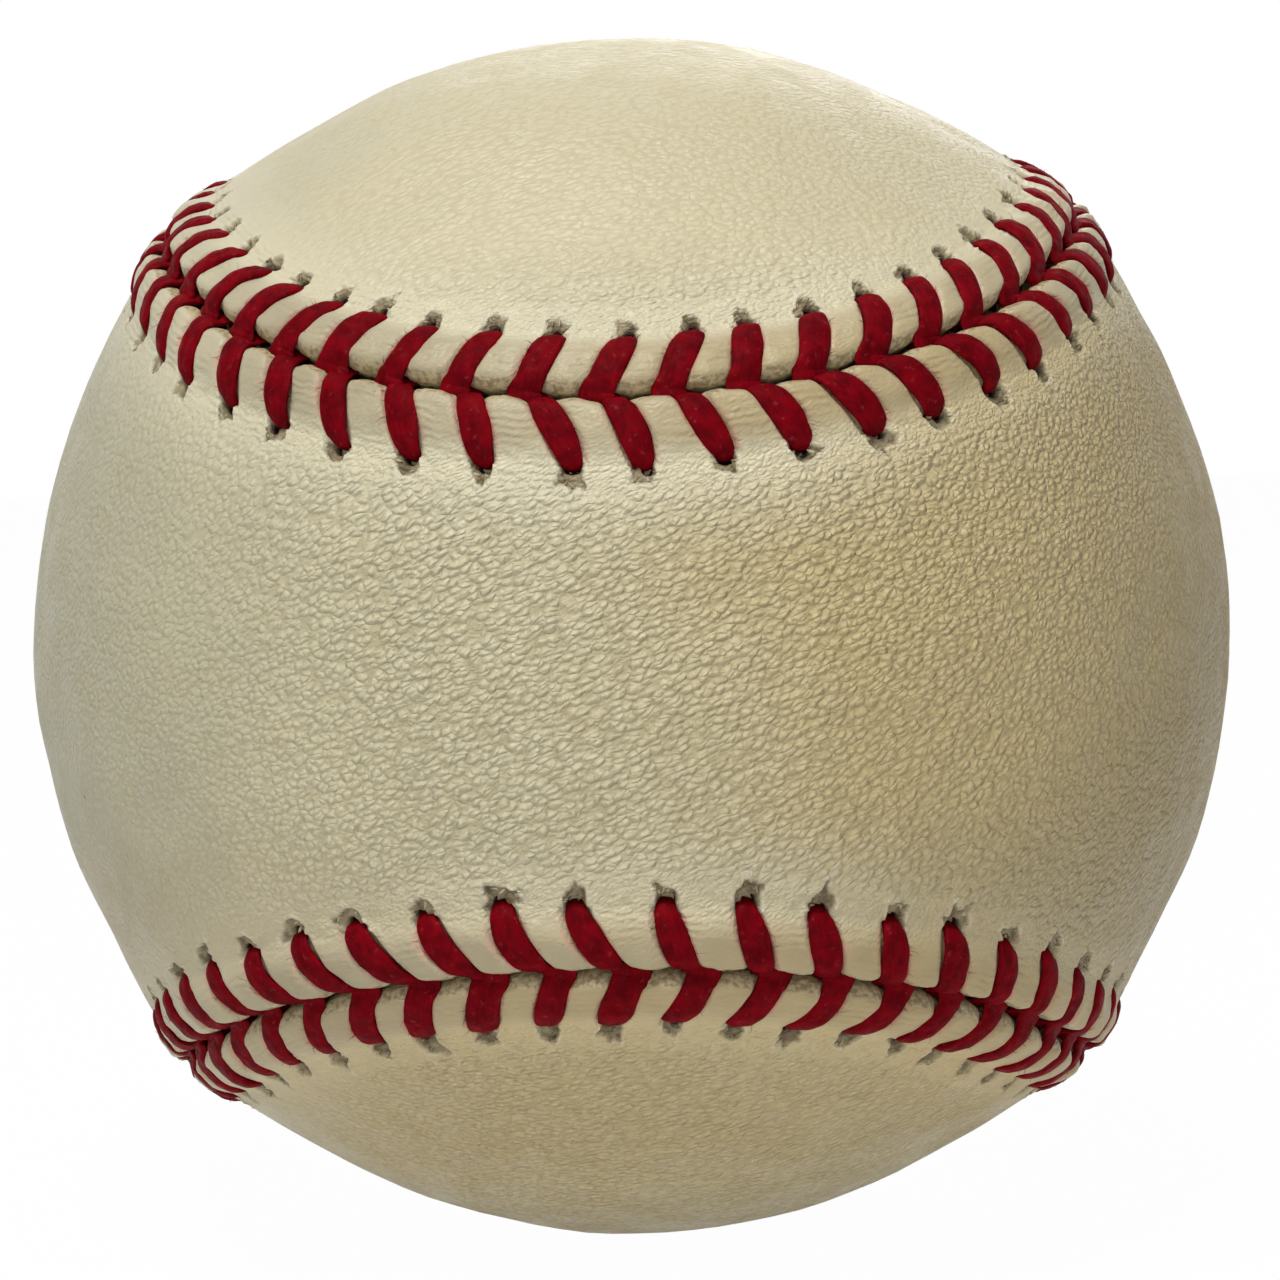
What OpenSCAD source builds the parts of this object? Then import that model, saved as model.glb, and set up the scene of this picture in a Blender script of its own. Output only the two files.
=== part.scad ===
// Baseball: a moulded centre, four yarn windings and two leather panels laced together

/* [Ball] */
// Diameter over the smooth leather, away from the seam
ball_d = 73.8; // [73.4:0.1:75]
// Thickness of the leather
leather_t = 1.3; // [1.2:0.05:1.4]

/* [Seam] */
// Width of a panel across its waist, along the surface
waist_w = 30.6; // [29:0.1:32]
// Radius of a panel's rounded end, along the surface
end_r = 27.9; // [27:0.1:29]
// Turn of the rounded end to each side of its middle, in degrees
end_turn = 61.3; // [58:0.1:64]
// Slot between the edges of the two panels
seam_gap = 0.7; // [0.66:0.01:0.9]
// Height that the leather rises to beside the seam
rise_h = 0.95; // [0.85:0.01:1.05]
// Width of the rise, from the seam out
rise_w = 13; // [11:0.1:14]
// Drop of the rounded edge of a panel
edge_drop = 0.45; // [0.35:0.01:0.55]
// Width of the rounded edge of a panel
edge_w = 1.2; // [1:0.05:1.4]

/* [Stitches] */
// Number of stitches that each thread makes round the seam
stitches = 108; // [104:4:108]
// Distance of a stitch hole from the seam, on average
hole_reach = 3.6; // [3.4:0.05:4]
// Length that a waist adds to that distance, and a rounded end takes off
reach_swing = 0.25; // [0:0.01:0.3]
// Diameter of a stitch hole
hole_d = 1.6; // [1.5:0.05:1.8]
// Width of the thread where it lies on the leather
thread_w = 1.5; // [1.2:0.05:1.6]
// Width of the thread where it turns down, into a hole or the seam
thread_bend_w = 1.1; // [0.8:0.05:1.2]
// Width of the thread below the leather
thread_low_w = 0.7; // [0.5:0.05:0.8]
// Thickness of the thread
thread_t = 0.42; // [0.36:0.01:0.48]
// Distance between the two threads where they go down the seam
thread_apart = 1.6; // [1.5:0.05:1.8]
// Share of a stitch by which a hole leads its crossing, on average
lead_share = 0.45; // [0.3:0.01:0.5]
// Share of a stitch that a waist adds to that lead, and a rounded end takes off
lead_swing_share = 0.11; // [0:0.01:0.16]

/* [Centre] */
// Diameter of the cork core
cork_d = 20.6; // [19:0.1:22]
// Thickness of the two inner rubber cups
cup_t = 4; // [3.5:0.05:4.3]
// Thickness of the gasket between the cups
gasket_t = 1.2; // [0.8:0.05:2]
// Thickness of the outer rubber jacket
jacket_t = 2.4; // [2:0.05:2.8]

/* [Windings] */
// Thickness of the winding of white wool
white_t = 1.7; // [1.4:0.05:2]
// Thickness of the outer winding of grey wool
outer_grey_t = 1.4; // [1:0.05:1.8]
// Thickness of the winding of cotton
cotton_t = 0.5; // [0.4:0.05:0.8]
// Thickness of the adhesive coat under the leather
adhesive_t = 0.2; // [0.1:0.01:0.25]

/* [Fits] */
// Clearance between one layer and the next
layer_gap = 0.1; // [0.06:0.01:0.12]
// Clearance between a thread and the leather that it lies on
thread_gap = 0.16; // [0.15:0.01:0.2]
// Height of the thread above the layer under the leather
thread_lift = 0.25; // [0.22:0.01:0.3]

/* [Hidden] */
$fn = 72;

// One overrun for every cut
overrun = ball_d / 20;

ball_r = ball_d / 2;
leather_in_r = ball_r - leather_t;

// Height of the room under a panel's edge, where the threads pass, and its width
room_h = thread_lift + thread_t + thread_gap;
room_w = hole_reach + reach_swing + hole_d / 2 + thread_gap;
rise_power = 1.6;

// Angle at the ball's centre of a length along its surface
function surface_angle(length) = length / ball_r * 180 / PI;

function unit(v) = v / norm(v);
function turned(v, axis, a) =
    v * cos(a) + cross(axis, v) * sin(a) + axis * (axis * v) * (1 - cos(a));
function placement(x, y, z) = [
    [x.x, y.x, z.x, 0],
    [x.y, y.y, z.y, 0],
    [x.z, y.z, z.z, 0],
    [0, 0, 0, 1]
];

// Seam: four lobes, each a rounded end between two flatter flanks, which meet the
// next lobe where the seam crosses the equator. The base lobe's middle is at front.
end_angle = surface_angle(end_r);
end_centre = [0, -cos(surface_angle(waist_w / 2 + end_r)), sin(surface_angle(waist_w / 2 + end_r))];
end_middle = [0, -cos(surface_angle(waist_w / 2)), sin(surface_angle(waist_w / 2))];
end_last = turned(end_middle, end_centre, end_turn);
lobe_first = unit([-1, 0, 1]);
lobe_last = unit([1, 0, 1]);
end_inward = unit(end_centre - end_last * (end_centre * end_last));
flank_angle = atan2(1 - end_last * lobe_last, end_inward * lobe_last);
flank_centre = end_last * cos(flank_angle) + end_inward * sin(flank_angle);
flank_mirror = [-flank_centre.x, flank_centre.y, flank_centre.z];
flank_from = unit(end_last - flank_centre * (flank_centre * end_last));
flank_to = unit(lobe_last - flank_centre * (flank_centre * lobe_last));
flank_turn = acos(flank_from * flank_to);

// Lengths along the seam, as degrees of a great circle
flank_run = flank_turn * sin(flank_angle);
end_run = 2 * end_turn * sin(end_angle);
lobe_run = 2 * flank_run + end_run;
pitch = 4 * lobe_run / stitches;
thread_apart_run = surface_angle(thread_apart);

// Point and travel direction at a run along the base lobe
function lobe_centre(a) =
    a < flank_run ? flank_mirror : a < flank_run + end_run ? end_centre : flank_centre;
function lobe_point(a) =
    a < flank_run ? turned(lobe_first, flank_mirror, a / sin(flank_angle))
    : a < flank_run + end_run
        ? turned(end_middle, end_centre, (a - flank_run) / sin(end_angle) - end_turn)
        : turned(end_last, flank_centre, (a - flank_run - end_run) / sin(flank_angle));

// A quarter turn about Y with front and back swapped takes each lobe to the next
function next_lobe(v) = [v.z, -v.y, -v.x];
function to_lobe(v, q) = q == 0 ? v : to_lobe(next_lobe(v), q - 1);

// [point, direction of travel, direction towards the front panel] at a run from the
// base lobe's middle
function seam_at(run) =
    let(
        whole = 4 * lobe_run,
        s = run + lobe_run / 2,
        r = s - whole * floor(s / whole),
        q = floor(r / lobe_run),
        a = r - q * lobe_run,
        p = lobe_point(a),
        t = unit(cross(lobe_centre(a), p)),
        outward = unit(p * (lobe_centre(a) * p) - lobe_centre(a))
    )
    [to_lobe(p, q), to_lobe(t, q), to_lobe(outward, q) * (q % 2 == 0 ? 1 : -1)];

// Unit vector at a run along the seam and a reach towards the front panel
function surface_at(run, reach) =
    let(f = seam_at(run), a = surface_angle(reach))
    f[0] * cos(a) + f[2] * sin(a);

// Rise of the leather at a distance from the seam
function rise(d) =
    rise_h * pow(max(0, 1 - d / rise_w), rise_power)
    - edge_drop * pow(max(0, 1 - (d - seam_gap / 2) / edge_w), 2);

// Stitches: where a hole lies, on the front panel for side 1 and the back for side -1.
// The swing is 1 where that panel has its waist, and -1 where it has a rounded end.
function swing(k, side) = side * cos(180 * k * pitch / lobe_run);
function lead(k, side) = lead_share + swing(k, side) * lead_swing_share;
function reach(k, side) = hole_reach + swing(k, side) * reach_swing;
function hole_at(k, side) = surface_at((k + lead(k, side)) * pitch, side * reach(k, side));
function crossing_run(k, side) = k * pitch + side * thread_apart_run / 2;

// Front panel: one section of the leather at each stitch, from the panel's spine out to
// its edge and back underneath. The spine runs along X from one end centre to the other.
top_shares = [0.55, 0.27, 0.1, 0.04, 0];
inner_shares = [2 / 3, 1 / 3, 0];
facet_step = 5.6;
under_r = leather_in_r / cos(surface_angle(facet_step) / 2);
edge = seam_gap / 2;
spine_end = 180 - surface_angle(waist_w / 2 + end_r);

function azimuth(v) = atan2(v.x, -v.y);
function on_spine(a) = [sin(a), -cos(a), 0];
function spine_foot(v) = on_spine(max(-spine_end, min(spine_end, azimuth(v))));
function inner_point(k) = surface_at(k * pitch, rise_w);

// Stations beside the front waist whose feet lie between the ends of the spine
spine_stations = len([for (k = [1:stitches / 4]) if (azimuth(inner_point(k)) < spine_end) 1]);

// Number of a station's foot along the spine, alike for a station and its mirror image
function foot_number(k) =
    let(
        quarter = stitches / 4,
        j = (k + quarter) % stitches - quarter,
        mirrored = j <= quarter ? j : stitches / 2 - j
    )
    max(-spine_stations - 1, min(spine_stations + 1, mirrored));

function panel_section(k) =
    let(last = inner_point(k), foot = spine_foot(last))
    concat(
        [for (share = inner_shares) unit(last * (1 - share) + foot * share) * ball_r],
        [for (share = top_shares)
            let(d = edge + share * (rise_w - edge))
            surface_at(k * pitch, d) * (ball_r + rise(d))],
        [surface_at(k * pitch, edge) * (leather_in_r + room_h)],
        [surface_at(k * pitch, room_w) * (leather_in_r + room_h)],
        [for (i = [len(inner_shares) - 1:-1:0])
            unit(last * (1 - inner_shares[i]) + foot * inner_shares[i]) * under_r]
    );

module panel_blank() {
    sections = [for (k = [0:stitches - 1]) panel_section(k)];
    rows = len(sections[0]);
    feet = [
        for (n = [-spine_stations - 1:spine_stations + 1])
            abs(n) > spine_stations
                ? on_spine(sign(n) * spine_end)
                : spine_foot(inner_point((n + stitches) % stitches))
    ];
    outer_base = stitches * rows;
    under_base = outer_base + len(feet);
    points = concat(
        [for (section = sections) each section],
        [for (foot = feet) foot * ball_r],
        [for (foot = feet) foot * under_r]
    );
    faces = [
        for (k = [0:stitches - 1])
            let(
                a = k * rows,
                b = (k + 1) % stitches * rows,
                foot_a = foot_number(k) + spine_stations + 1,
                foot_b = foot_number((k + 1) % stitches) + spine_stations + 1
            )
            each concat(
                [for (j = [0:rows - 2]) each [
                    [a + j, a + j + 1, b + j + 1],
                    [a + j, b + j + 1, b + j]
                ]],
                [[outer_base + foot_a, a, b]],
                [[a + rows - 1, under_base + foot_a, b + rows - 1]],
                foot_a == foot_b ? [] : [
                    [outer_base + foot_a, b, outer_base + foot_b],
                    [under_base + foot_a, under_base + foot_b, b + rows - 1]
                ]
            )
    ];
    polyhedron(points, faces);
}

module stitch_holes(side) {
    for (k = [0:stitches - 1]) {
        z = hole_at(k, side);
        x = unit(cross(z, seam_at(k * pitch)[1]));
        multmatrix(placement(x, cross(z, x), z))
            translate([0, 0, leather_in_r - overrun])
                cylinder(d = hole_d, h = leather_t + 2 * overrun, $fn = 24);
    }
}

module cover_panel_front() {
    color("#e3d6bd")
        difference() {
            panel_blank();
            stitch_holes(1);
        }
}

module cover_panel_back() {
    color("#ded0b4")
        difference() {
            rotate(180, [1, 0, 1]) panel_blank();
            stitch_holes(-1);
        }
}

// Lacing thread: one closed flat tube, worked against the run of the seam. Each stitch
// comes up a hole, lies over the edge of its panel, goes down the seam and on under the
// other panel to the next hole. The tube turns over at each hole, so sign alternates.
ring_shares = [[-1, -1], [-1, 1], [1, 1], [1, -1]];

function ring(p, across, up, w) =
    [for (c = ring_shares) p + across * (c.x * w / 2) + up * (c.y * thread_t / 2)];

low_r = leather_in_r + thread_lift + thread_t / 2;
hole_top_r = ball_r + rise(hole_reach) + thread_gap + thread_t / 2;
crown_r = ball_r + rise(hole_reach / 2) + thread_gap + thread_t / 2;
seam_top_r = ball_r + rise(edge_w / 2) + thread_gap + thread_t / 2;

function level(v, up) = unit(v - up * (up * v));

function stitch_rings(k, side) =
    let(
        sign = k % 2 == 0 ? 1 : -1,
        hole = hole_at(k, side),
        from = surface_at(crossing_run(k + 1, -side), 0),
        to = surface_at(crossing_run(k, side), 0),
        crown = unit(hole + to),
        under = level(hole - from, hole),
        over = level(to - hole, hole),
        turn = unit(under - over),
        from_way = seam_at(crossing_run(k + 1, -side))[2] * side,
        to_way = seam_at(crossing_run(k, side))[2] * -side,
        crown_way = level(to - hole, crown)
    )
    concat(
        ring(from * low_r, -sign * cross(from, from_way), -sign * (from_way + from), thread_low_w),
        ring(hole * low_r, -sign * cross(hole, turn), -sign * (hole - turn), thread_low_w),
        ring(hole * hole_top_r, -sign * cross(hole, turn), sign * (turn + hole), thread_bend_w),
        ring(crown * crown_r, sign * cross(crown, crown_way), sign * crown, thread_w),
        ring(to * seam_top_r, sign * cross(to, to_way), sign * (to + to_way), thread_bend_w)
    );

module lacing_thread(first_side) {
    points = [
        for (k = [stitches - 1:-1:0])
            each stitch_rings(k, k % 2 == 0 ? first_side : -first_side)
    ];
    sides = len(ring_shares);
    rings = len(points) / sides;
    faces = [
        for (i = [0:rings - 1], j = [0:sides - 1])
            let(
                a = i * sides + j,
                b = i * sides + (j + 1) % sides,
                c = (i + 1) % rings * sides + j,
                d = (i + 1) % rings * sides + (j + 1) % sides
            )
            each [[a, b, c], [b, d, c]]
    ];
    polyhedron(points, faces);
}

module lacing_thread_first() {
    color("#8c1c2b") lacing_thread(1);
}

module lacing_thread_second() {
    color("#94202e") lacing_thread(-1);
}

// Centre of the ball
cork_r = cork_d / 2;
cup_in_r = cork_r + layer_gap;
cup_out_r = cup_in_r + cup_t;
jacket_in_r = cup_out_r + layer_gap;
jacket_out_r = jacket_in_r + jacket_t;

module layer(outer_r, inner_r) {
    difference() {
        sphere(r = outer_r);
        sphere(r = inner_r);
    }
}

module cork_core() {
    color("#a9825a") sphere(r = cork_r);
}

// One rubber cup: half of the layer round the cork, cut back for the gasket
module inner_cup() {
    difference() {
        layer(cup_out_r, cup_in_r);
        translate([-cup_out_r - overrun, -cup_out_r - overrun, -cup_out_r - overrun])
            cube([
                2 * (cup_out_r + overrun),
                2 * (cup_out_r + overrun),
                cup_out_r + overrun + gasket_t / 2 + layer_gap
            ]);
    }
}

module inner_cup_top() {
    color("#2b2b2d") inner_cup();
}

module inner_cup_bottom() {
    color("#2b2b2d") mirror([0, 0, 1]) inner_cup();
}

module cup_gasket() {
    color("#a5382c")
        intersection() {
            layer(cup_out_r, cup_in_r);
            translate([0, 0, -gasket_t / 2]) cylinder(r = cup_out_r + overrun, h = gasket_t);
        }
}

module pill_jacket() {
    color("#b23a30") layer(jacket_out_r, jacket_in_r);
}

// Windings, each a closed layer of yarn, from the leather inwards. The inner grey one
// fills what the others leave, down to the centre.
adhesive_out_r = leather_in_r - layer_gap;
adhesive_in_r = adhesive_out_r - adhesive_t;
cotton_out_r = adhesive_in_r - layer_gap;
cotton_in_r = cotton_out_r - cotton_t;
outer_grey_out_r = cotton_in_r - layer_gap;
outer_grey_in_r = outer_grey_out_r - outer_grey_t;
white_out_r = outer_grey_in_r - layer_gap;
white_in_r = white_out_r - white_t;
inner_grey_out_r = white_in_r - layer_gap;
inner_grey_in_r = jacket_out_r + layer_gap;

module inner_grey_winding() {
    color("#7d848c") layer(inner_grey_out_r, inner_grey_in_r);
}

module white_winding() {
    color("#e8e4da") layer(white_out_r, white_in_r);
}

module outer_grey_winding() {
    color("#868d94") layer(outer_grey_out_r, outer_grey_in_r);
}

module cotton_winding() {
    color("#efe9d8") layer(cotton_out_r, cotton_in_r);
}

module adhesive_coat() {
    color("#d9cfa8") layer(adhesive_out_r, adhesive_in_r);
}

cork_core();
inner_cup_top();
inner_cup_bottom();
cup_gasket();
pill_jacket();
inner_grey_winding();
white_winding();
outer_grey_winding();
cotton_winding();
adhesive_coat();
cover_panel_front();
cover_panel_back();
lacing_thread_first();
lacing_thread_second();
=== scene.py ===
"""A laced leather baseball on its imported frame: cover panels, lacing, materials, light, camera.

The cover and the lacing are worked out here in millimetres from the seam's own formula, so
that every pillow of leather, hole and thread lies on the same stitch as in the frame.
"""

import bpy
import numpy as np
from mathutils import Matrix, Vector


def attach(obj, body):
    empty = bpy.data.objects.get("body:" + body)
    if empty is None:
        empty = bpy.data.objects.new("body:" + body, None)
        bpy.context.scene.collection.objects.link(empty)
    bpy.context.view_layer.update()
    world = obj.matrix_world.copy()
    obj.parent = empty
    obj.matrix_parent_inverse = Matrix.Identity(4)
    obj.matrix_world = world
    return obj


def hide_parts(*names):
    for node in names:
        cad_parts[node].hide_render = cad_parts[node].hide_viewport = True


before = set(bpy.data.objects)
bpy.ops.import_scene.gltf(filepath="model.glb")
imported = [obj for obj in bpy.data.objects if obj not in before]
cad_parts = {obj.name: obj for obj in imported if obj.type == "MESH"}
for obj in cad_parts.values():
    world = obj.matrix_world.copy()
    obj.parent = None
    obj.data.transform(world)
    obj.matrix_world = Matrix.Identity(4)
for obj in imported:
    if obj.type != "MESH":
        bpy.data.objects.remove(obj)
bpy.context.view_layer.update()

MM = 0.001
SEED = 7

# Ball and seam
BALL_R = 36.9
LEATHER_T = 1.3
WAIST_W = 30.6
END_R = 27.9
END_TURN = np.radians(61.3)
RISE_H = 0.95
RISE_W = 13.0
RISE_POWER = 1.6

# Stitches; by panel, 1 is the front one and -1 the back one
STITCHES = 108
HOLE_REACH = 3.5
REACH_SWING = 0.05
LEAD_SHARE = 0.42
LEAD_SWING_SHARE = 0.12
LEAD_TREND = {1: 0.75, -1: 0.6}
STATION_SLIP = 0.5
THREAD_APART = 0.6
THREAD_W = 1.6
THREAD_T = 0.46
THREAD_LOW = -0.86
BOW = {1: 0.12, -1: 0.0}
BOW_SWING = 0.4
LEG_WIDTHS_AT = [0, 0.2, 0.5, 0.75, 1]
LEG_WIDTHS = {1: [0.68, 0.94, 1.04, 1.02, 0.78], -1: [1.08, 0.96, 1.02, 1.02, 0.8]}
ARCH = 0.1
THREAD_SINK = 0.03
RIM_DIP = {1: 0.82, -1: 0.5}
RIM_DIP_REACH = 1.3
HOLE_DIP = 0.42
HOLE_DIP_REACH = 1.1
OPEN_FOOT_SHARE = 0.3

# How uneven the work done by hand is
LEAD_SPREAD = 0.035
REACH_SPREAD = 0.07
CROSS_SPREAD = 0.05
BOW_SPREAD = 0.11
WIDTH_SPREAD = 0.06
LIFT_SPREAD = 0.025
CROWN_SPREAD = 0.18
EDGE_SPREAD = 0.07

# Pillows of leather between the threads, and the cut edge that they turn over
PILLOW_H = 0.44
PILLOW_CROWN = 0.18
PILLOW_SIDE = (-0.28, 0.16)
PILLOW_END = (-1.5, 0.4)
TROUGH_GAP = 0.03
EDGE_NEAR = 0.07
EDGE_OPEN_LEFT = 0.36
EDGE_OPEN_RIGHT = 0.16
EDGE_NOTCH = 0.46
RIM_STEPS = [0.0, 0.1, 0.22, 0.36, 0.52, 0.72]
RIM_DROPS = [0.85, 0.62, 0.4, 0.2, 0.07, 0.0]
CUT_SHARES = [1.0, 1.0, 0.95, 0.7, 0.12, 0.0]
UNDER_H = -0.47
UNDER_W = 4.8

# Small forms of leather and thread: wavelength and height of each
BROAD_DENTS = (11, 0.05)
SMALL_DENTS = (4.5, 0.02)
BROAD_LUMPS = (2.4, 0.045)
SMALL_LUMPS = (1.1, 0.015)
RAGGED_RIM = (0.55, 0.035)
PINCHES = (1.1, 0.03)
TORN_FLOOR = (0.6, 0.15)
CUT_WALL = (0.45, 0.03)
THREAD_LUMPS = (0.8, 0.012)
DENT_MEAN = 0.12
WALL_BULGE = 0.06
THREAD_RIDGES = 5
THREAD_RIDGE_H = 0.05
THREAD_FULLNESS = 0.85

# Marks on the leather: where each lies from its own edge or hole, and its spread or its end
RIM_RAG = (0.1, 0.3)
HOLE_PINCH = (0.2, 0.9)
THREAD_RUB = (0.04, 0.1)
RUB_END = (-0.2, 0)
TROUGH_END = (-0.1, 0.35)
TEAR_START = (-0.3, 0.1)
TEAR_FADE = (0.84, 1.0)
PIT_FADE = (0.55, 1.05)
LIP = (1.12, 0.1)


# Vectors

def unit(v):
    return v / np.linalg.norm(v, axis=-1, keepdims=True)


def turned(v, axis, angle):
    """v turned about a unit axis by an array of angles."""
    c, s = np.cos(angle)[..., None], np.sin(angle)[..., None]
    return v * c + np.cross(axis, v) * s + axis * (v @ axis) * (1 - c)


def smooth(low, high, x):
    t = np.clip((x - low) / (high - low), 0, 1)
    return t * t * (3 - 2 * t)


def bell(x, middle, spread):
    return np.exp(-((x - middle) / spread) ** 2)


def ripple(points, wavelength, seed, waves=36):
    """Smooth noise of about unit spread at points in millimetres."""
    rng = np.random.default_rng(seed)
    ways = unit(rng.normal(size=(waves, 3))) * (2 * np.pi / wavelength)
    ways *= rng.uniform(0.6, 1.5, size=(waves, 1))
    starts = rng.uniform(0, 2 * np.pi, waves)
    total = np.zeros(points.shape[:-1])
    for way, start in zip(ways, starts):
        total += np.cos(points @ way + start)
    return total * np.sqrt(2 / waves)


def lumps(points, kind, seed):
    """Smooth noise in millimetres, of a kind that gives its wavelength and height."""
    wavelength, height = kind
    return height * ripple(points, wavelength, seed)


# Seam: four lobes, each a rounded end between two flatter flanks

WAIST_ANGLE = WAIST_W / 2 / BALL_R
END_ANGLE = END_R / BALL_R
END_CENTRE = np.array([0, -np.cos(WAIST_ANGLE + END_ANGLE), np.sin(WAIST_ANGLE + END_ANGLE)])
END_MIDDLE = np.array([0, -np.cos(WAIST_ANGLE), np.sin(WAIST_ANGLE)])
END_LAST = turned(END_MIDDLE, END_CENTRE, np.array(END_TURN))
LOBE_FIRST = unit(np.array([-1.0, 0, 1]))
LOBE_LAST = unit(np.array([1.0, 0, 1]))
END_INWARD = unit(END_CENTRE - END_LAST * (END_CENTRE @ END_LAST))
FLANK_ANGLE = np.arctan2(1 - END_LAST @ LOBE_LAST, END_INWARD @ LOBE_LAST)
FLANK_CENTRE = END_LAST * np.cos(FLANK_ANGLE) + END_INWARD * np.sin(FLANK_ANGLE)
FLANK_MIRROR = FLANK_CENTRE * np.array([-1, 1, 1])
FLANK_FROM = unit(END_LAST - FLANK_CENTRE * (FLANK_CENTRE @ END_LAST))
FLANK_TO = unit(LOBE_LAST - FLANK_CENTRE * (FLANK_CENTRE @ LOBE_LAST))
FLANK_RUN = np.arccos(FLANK_FROM @ FLANK_TO) * np.sin(FLANK_ANGLE)
END_RUN = 2 * END_TURN * np.sin(END_ANGLE)
LOBE_RUN = 2 * FLANK_RUN + END_RUN
PITCH = 4 * LOBE_RUN * BALL_R / STITCHES
SPINE_END = np.pi - WAIST_ANGLE - END_ANGLE


def seam_frames(run):
    """Points on the unit ball, directions of travel and directions towards the front panel."""
    s = run / BALL_R + LOBE_RUN / 2
    r = s - 4 * LOBE_RUN * np.floor(s / (4 * LOBE_RUN))
    quarter = np.minimum(np.floor(r / LOBE_RUN), 3)
    a = r - quarter * LOBE_RUN
    first, last = a < FLANK_RUN, a >= FLANK_RUN + END_RUN
    point = turned(END_MIDDLE, END_CENTRE, (a - FLANK_RUN) / np.sin(END_ANGLE) - END_TURN)
    start = turned(LOBE_FIRST, FLANK_MIRROR, a / np.sin(FLANK_ANGLE))
    stop = turned(END_LAST, FLANK_CENTRE, (a - FLANK_RUN - END_RUN) / np.sin(FLANK_ANGLE))
    point = np.where(first[..., None], start, np.where(last[..., None], stop, point))
    centre = np.where(last[..., None], FLANK_CENTRE, END_CENTRE)
    centre = np.where(first[..., None], FLANK_MIRROR, centre)
    travel = unit(np.cross(centre, point))
    outward = point * np.sum(centre * point, axis=-1, keepdims=True) - centre
    outward = unit(outward) * np.where(quarter % 2 == 0, 1, -1)[..., None]
    for turn in range(3):
        more = (quarter > turn)[..., None]
        point, travel, outward = (
            np.where(more, np.stack([v[..., 2], -v[..., 1], -v[..., 0]], axis=-1), v)
            for v in (point, travel, outward)
        )
    return point, travel, outward


def on_ball(run, reach, height):
    """Points in millimetres; reach is towards the front panel, height is over the ball."""
    point, _, outward = seam_frames(run)
    a = (reach / BALL_R)[..., None]
    return (point * np.cos(a) + outward * np.sin(a)) * (BALL_R + height)[..., None]


def rise(d):
    return RISE_H * np.maximum(0, 1 - d / RISE_W) ** RISE_POWER


def dents(points):
    """How far the worn leather lies under its smooth shape."""
    broad, small = lumps(points, BROAD_DENTS, SEED + 1), lumps(points, SMALL_DENTS, SEED + 2)
    return np.maximum(0, DENT_MEAN + broad + small)


# Stitches of one panel: side 1 is the front panel, side -1 the back one

class Legs:
    """Where each stitch of one panel lies, with the unevenness of work done by hand."""

    def __init__(self, side):
        rng = np.random.default_rng(SEED + side)
        k = np.arange(STITCHES)
        swing = side * np.cos(4 * np.pi * k / STITCHES)
        trend = np.sin(4 * np.pi * k / STITCHES)
        self.side = side
        self.open = np.where(trend < 0, EDGE_OPEN_LEFT, EDGE_OPEN_RIGHT) * trend ** 2
        lead = LEAD_SHARE + swing * LEAD_SWING_SHARE + rng.normal(0, LEAD_SPREAD, STITCHES)
        self.slip = STATION_SLIP * (np.cos(2 * np.pi * k / STITCHES) - 1) / 2
        self.hole_x = self.slip + lead * PITCH + LEAD_TREND[side] * trend
        self.reach = HOLE_REACH + swing * REACH_SWING + rng.normal(0, REACH_SPREAD, STITCHES)
        self.cross_x = self.slip + side * THREAD_APART / 2 + rng.normal(0, CROSS_SPREAD, STITCHES)
        self.bow = BOW[side] + rng.normal(0, BOW_SPREAD, STITCHES) + BOW_SWING * trend
        self.width = THREAD_W * (1 + rng.normal(0, WIDTH_SPREAD, STITCHES))
        self.lift = rng.normal(0, LIFT_SPREAD, STITCHES)
        self.crown = 1 + rng.normal(0, CROWN_SPREAD, STITCHES)

    def offset(self, k, d):
        """How far ahead of its station the middle of leg k lies at a distance from the seam."""
        f = np.clip(d / self.reach[k], 0, 1)
        x = self.cross_x[k] + (self.hole_x[k] - self.cross_x[k]) * f
        x += self.bow[k] * np.sin(np.pi * f)
        return x * (1 - smooth(self.reach[k] + 1, FADE_END, d))

    def height(self, k, d):
        """Height of the middle of the thread where it lies on the leather."""
        over = rise(d) + THREAD_T / 2 - THREAD_SINK + self.lift[k]
        arch = ARCH * np.sin(np.pi * np.clip(d / self.reach[k], 0, 1))
        rim = RIM_DIP[self.side] * np.maximum(0, 1 - d / RIM_DIP_REACH) ** 2
        hole = HOLE_DIP * np.maximum(0, 1 - (self.reach[k] - d) / HOLE_DIP_REACH) ** 2
        return over + arch - rim - hole

    def half_width(self, k, d):
        """Half the thread's width, which grows at its foot where the groove is open."""
        f = np.clip(d / self.reach[k], 0, 1)
        share = np.interp(f, LEG_WIDTHS_AT, LEG_WIDTHS[self.side])
        share += self.open[k] * np.maximum(0, 1 - f / OPEN_FOOT_SHARE)
        return self.width[k] * share / 2

    def slant(self, k):
        """Cosine of the leg's slant, which narrows distances measured along the seam."""
        x = self.hole_x[k] - self.cross_x[k]
        return self.reach[k] / np.hypot(self.reach[k], x)


# Torn stitch holes

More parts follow.
